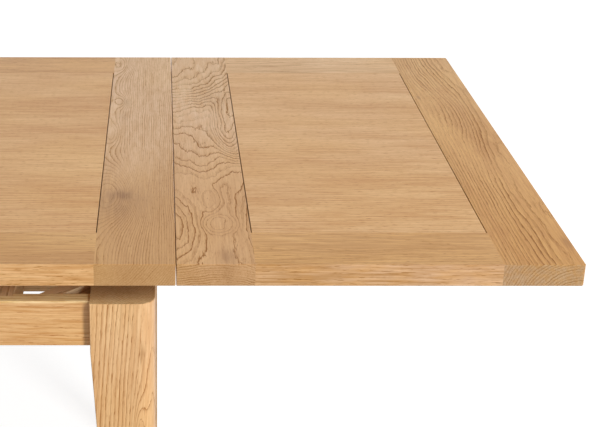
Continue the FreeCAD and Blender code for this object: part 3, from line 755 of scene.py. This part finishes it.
# The first tint of this stile makes its far half paler and bluer: painted sheen at grazing angles over the
# board's own paler tone
frame_piece("main_right_stile", "along_y", (-0.050, 0.0, 0.050), 77.1, spacing=0.0024,
            sway=0.016, sway_scale=1.4, ripple=0.006, lines=0.8, streaks=0.7, pores=0.5,
            pale=srgb(202, 156, 100), warm=srgb(177, 127, 71),
            swells=(((0.304, -0.20, 0.0), (0.036, 0.09, 0.0), 1.0, -0.022),
                    ((0.298, 0.36, 0.0), (0.018, 0.06, 0.0), 1.0, -0.009),
                    ((0.302, 0.17, 0.0), (0.010, 0.03, 0.0), 1.0, -0.007),
                    ((0.292, 0.03, 0.0), (0.012, 0.05, 0.0), 1.0, -0.007)),
            tints=(((1.31, 1.60, 2.66, 1.0), (((0.33, 0.40, 0.0), (0.30, 0.50, 0.0), 2.5, 1.0),)),
                   (stain, (((0.311, -0.198, 0.0), (0.014, 0.014, 0.0), 1.0, 0.46),
                            ((0.306, -0.222, 0.0), (0.036, 0.046, 0.0), 1.0, 0.40),
                            ((0.305, 0.165, 0.0), (0.008, 0.02, 0.0), 1.0, 0.3),
                            ((0.306, 0.10, 0.0), (0.008, 0.03, 0.0), 1.0, 0.2)))))
frame_piece("main_left_stile", "along_y", (0.03, 0.0, -0.08), 79.7, spacing=0.0028, sway=0.025)
frame_piece("left_leaf_left_stile", "along_y", (0.04, 0.0, -0.07), 81.1, spacing=0.0035, sway=0.025)
frame_piece("left_leaf_right_stile", "along_y", (-0.04, 0.0, -0.06), 83.3, spacing=0.0035, sway=0.025)

# Painted light on the near faces of the front rails, most on the main top; the back rails are paler and bluer
# at the middle, partly painted sheen
rail_tones = {
    "main_front": (srgb(209, 162, 101), srgb(181, 129, 69)),
    "main_back": (srgb(210, 161, 102), srgb(182, 129, 69)),
    "left_leaf_front": (srgb(211, 162, 100), srgb(179, 128, 65)),
    "left_leaf_back": (srgb(218, 173, 120), srgb(184, 136, 80)),
    "right_leaf_front": (srgb(211, 162, 100), srgb(179, 128, 65)),
    "right_leaf_back": (srgb(218, 173, 120), srgb(184, 136, 80)),
}
# Painted light on the near faces of the front rails: whitened, and lightened most on the main rail
near_face_light = {"main_front": (1.22, 1.35, 1.86, 1.0), "left_leaf_front": (0.95, 1.06, 1.71, 1.0),
               "right_leaf_front": (0.95, 1.06, 1.71, 1.0)}
just_outside = 0.001
near_light_reach = 0.002
far_sheen_reach = 0.25
for number, (word, (pale, warm)) in enumerate(rail_tones.items()):
    if word in near_face_light:
        near_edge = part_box(f"{word}_rail")[0].y
        lit_near_face = ((0.0, near_edge - just_outside, 0.0), (0.0, near_light_reach, 0.0), 2.0, 1.0)
        tint = (near_face_light[word], (lit_near_face,))
        inward = 0.02
    else:
        # Back rails are made paler and bluer at the middle: painted sheen over the board's own paler tone
        far_sheen_spot = (tuple(middle(f"{word}_rail")), (far_sheen_reach, 0.0, 0.0), 1.0, 0.8)
        tint = (far_sheen_and_tone, (far_sheen_spot,))
        inward = -0.02
    frame_piece(f"{word}_rail", "along_x", (0.0, inward, -0.11), 91.0 + 1.7 * number, spacing=0.0035,
                sway=0.025, sway_scale=1.1, ripple=0.004, lines=0.45, streaks=1.5, pores=0.8,
                pale=pale, warm=warm, tints=(tint,))


# Panels
# Each panel is quarter-sawn oak whose grain runs straight along the table.
# A tongue all round it floats in the grooves of its frame, without glue.

panel_tones = {
    "main": {"pale": srgb(218, 174, 119), "warm": srgb(192, 137, 76)},
    "left_leaf": {"pale": srgb(220, 178, 125), "warm": srgb(194, 141, 81)},
    "right_leaf": {"pale": srgb(220, 177, 125), "warm": srgb(194, 141, 81)},
}
for number, (top, tones) in enumerate(panel_tones.items()):
    frame_piece(f"{top}_panel", "along_x", (0.0, 0.9, -0.12), 101.0 + 4.1 * number, spacing=0.0060,
                sway=0.020, ripple=0.003, lines=0.25, streaks=1.3, pores=0.9,
                line=srgb(156, 100, 34), **tones)


# Guide pegs
# Two turned oak pegs are set in the main top's panel and drop into the holes of the centre board.
# They keep the floating top from shifting.

for row in ("front", "back"):
    heart = middle(f"{row}_guide_peg") + Vector((0.01, 0.02, 0.0))
    paint(f"{row}_guide_peg", oak(f"oak_{row}_guide_peg", "along_z", heart, 113.0, spacing=0.003))


# Studio
# A pale floor is lifted to white for the camera with the shadow kept, and is clear from beneath.
# A tall soft box at the front right and a weak one overhead are polarised, so the oak shows no glare.

def white_rays(tree):
    """One for camera, mirror and glass rays, which see white, and zero for rays that carry light."""
    seen = add_node(tree, "ShaderNodeLightPath").outputs
    white = math(tree, "MAXIMUM", seen["Is Camera Ray"], seen["Is Glossy Ray"])
    return math(tree, "MAXIMUM", white, seen["Is Transmission Ray"])


floor_half = 9.0
floor_mesh = bpy.data.meshes.new("studio_floor")
corners = [(-floor_half, -floor_half, 0), (floor_half, -floor_half, 0),
           (floor_half, floor_half, 0), (-floor_half, floor_half, 0)]
floor_mesh.from_pydata(corners, [], [(0, 1, 2, 3)])
floor = bpy.data.objects.new("studio_floor", floor_mesh)
bpy.context.collection.objects.link(floor)
floor_paint = bpy.data.materials.new("floor_paint")
floor_paint.use_nodes = True
floor_tree = floor_paint.node_tree
floor_surface = floor_tree.nodes["Principled BSDF"]
floor_surface.inputs["Base Color"].default_value = (0.6, 0.6, 0.6, 1.0)
floor_surface.inputs["Roughness"].default_value = 0.9
floor_surface.inputs["Specular IOR Level"].default_value = 0.0
floor_surface.inputs["Emission Color"].default_value = (1.0, 1.0, 1.0, 1.0)
floor_place = add_node(floor_tree, "ShaderNodeTexCoord").outputs["Object"]
near_reach = 1.2
far_reach = 6.0
near_lift = 0.70
far_lift = 0.80
from_middle = vector_math(floor_tree, "LENGTH", floor_place)
lift = map_range(floor_tree, from_middle, near_reach, far_reach, near_lift, far_lift)
feed(floor_tree, floor_surface.inputs["Emission Strength"],
     math(floor_tree, "MULTIPLY", lift, white_rays(floor_tree)))
beneath = add_node(floor_tree, "ShaderNodeMixShader")
feed(floor_tree, beneath.inputs[0], add_node(floor_tree, "ShaderNodeNewGeometry").outputs["Backfacing"])
feed(floor_tree, beneath.inputs[1], floor_surface.outputs[0])
feed(floor_tree, beneath.inputs[2], add_node(floor_tree, "ShaderNodeBsdfTransparent").outputs[0])
feed(floor_tree, floor_tree.nodes["Material Output"].inputs["Surface"], beneath.outputs[0])
floor_mesh.materials.append(floor_paint)

world = bpy.data.worlds.new("studio")
bpy.context.scene.world = world
world.use_nodes = True
sky_tree = world.node_tree
sky = sky_tree.nodes["Background"]
sky.inputs["Color"].default_value = (1.0, 1.0, 1.0, 1.0)
ambient = 0.36
strength = map_range(sky_tree, white_rays(sky_tree), 0.0, 1.0, ambient, 1.0, smooth=False)
feed(sky_tree, sky.inputs["Strength"], strength)


def soft_box(name, place, aim, width, height, power):
    lamp = bpy.data.lights.new(name, "AREA")
    lamp.shape = "RECTANGLE"
    lamp.size = width
    lamp.size_y = height
    lamp.energy = power
    made = bpy.data.objects.new(name, lamp)
    made.location = place
    made.rotation_euler = (Vector(aim) - Vector(place)).to_track_quat("-Z", "Y").to_euler()
    made.visible_glossy = False
    bpy.context.collection.objects.link(made)


top_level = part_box("main_panel")[1].z
soft_box("key_box", (3.1, -4.2, 3.45), (0.3, -0.2, top_level), width=1.1, height=4.6, power=314.0)
soft_box("overhead_box", (0.2, 0.3, 3.6), (0.0, 0.0, top_level), width=2.6, height=2.6, power=12.0)

# The camera stands a little above and right of the leaf, its frame slid sideways as a cropped view
camera_place = Vector((0.35766, -1.75041, 1.38163))
camera_pitch = 0.39992
camera_yaw = 0.00753
camera_roll = 0.00386
focal_pixels = 1361.8
frame_width = 600
sensor = 36.0
middle_pixel = 169.65
level_reach = cos(camera_pitch)
forward = Vector((sin(camera_yaw) * level_reach, cos(camera_yaw) * level_reach, -sin(camera_pitch)))
view = bpy.data.cameras.new("photo_view")
view.sensor_fit = "HORIZONTAL"
view.sensor_width = sensor
view.lens = sensor * focal_pixels / frame_width
view.shift_x = 0.5 - middle_pixel / frame_width
camera = bpy.data.objects.new("photo_view", view)
camera.location = camera_place
aimed = forward.to_track_quat("-Z", "Y").to_matrix()
camera.rotation_euler = (aimed @ Euler((0, 0, camera_roll)).to_matrix()).to_euler()
bpy.context.collection.objects.link(camera)
bpy.context.scene.camera = camera
bpy.context.scene.view_settings.view_transform = "Standard"
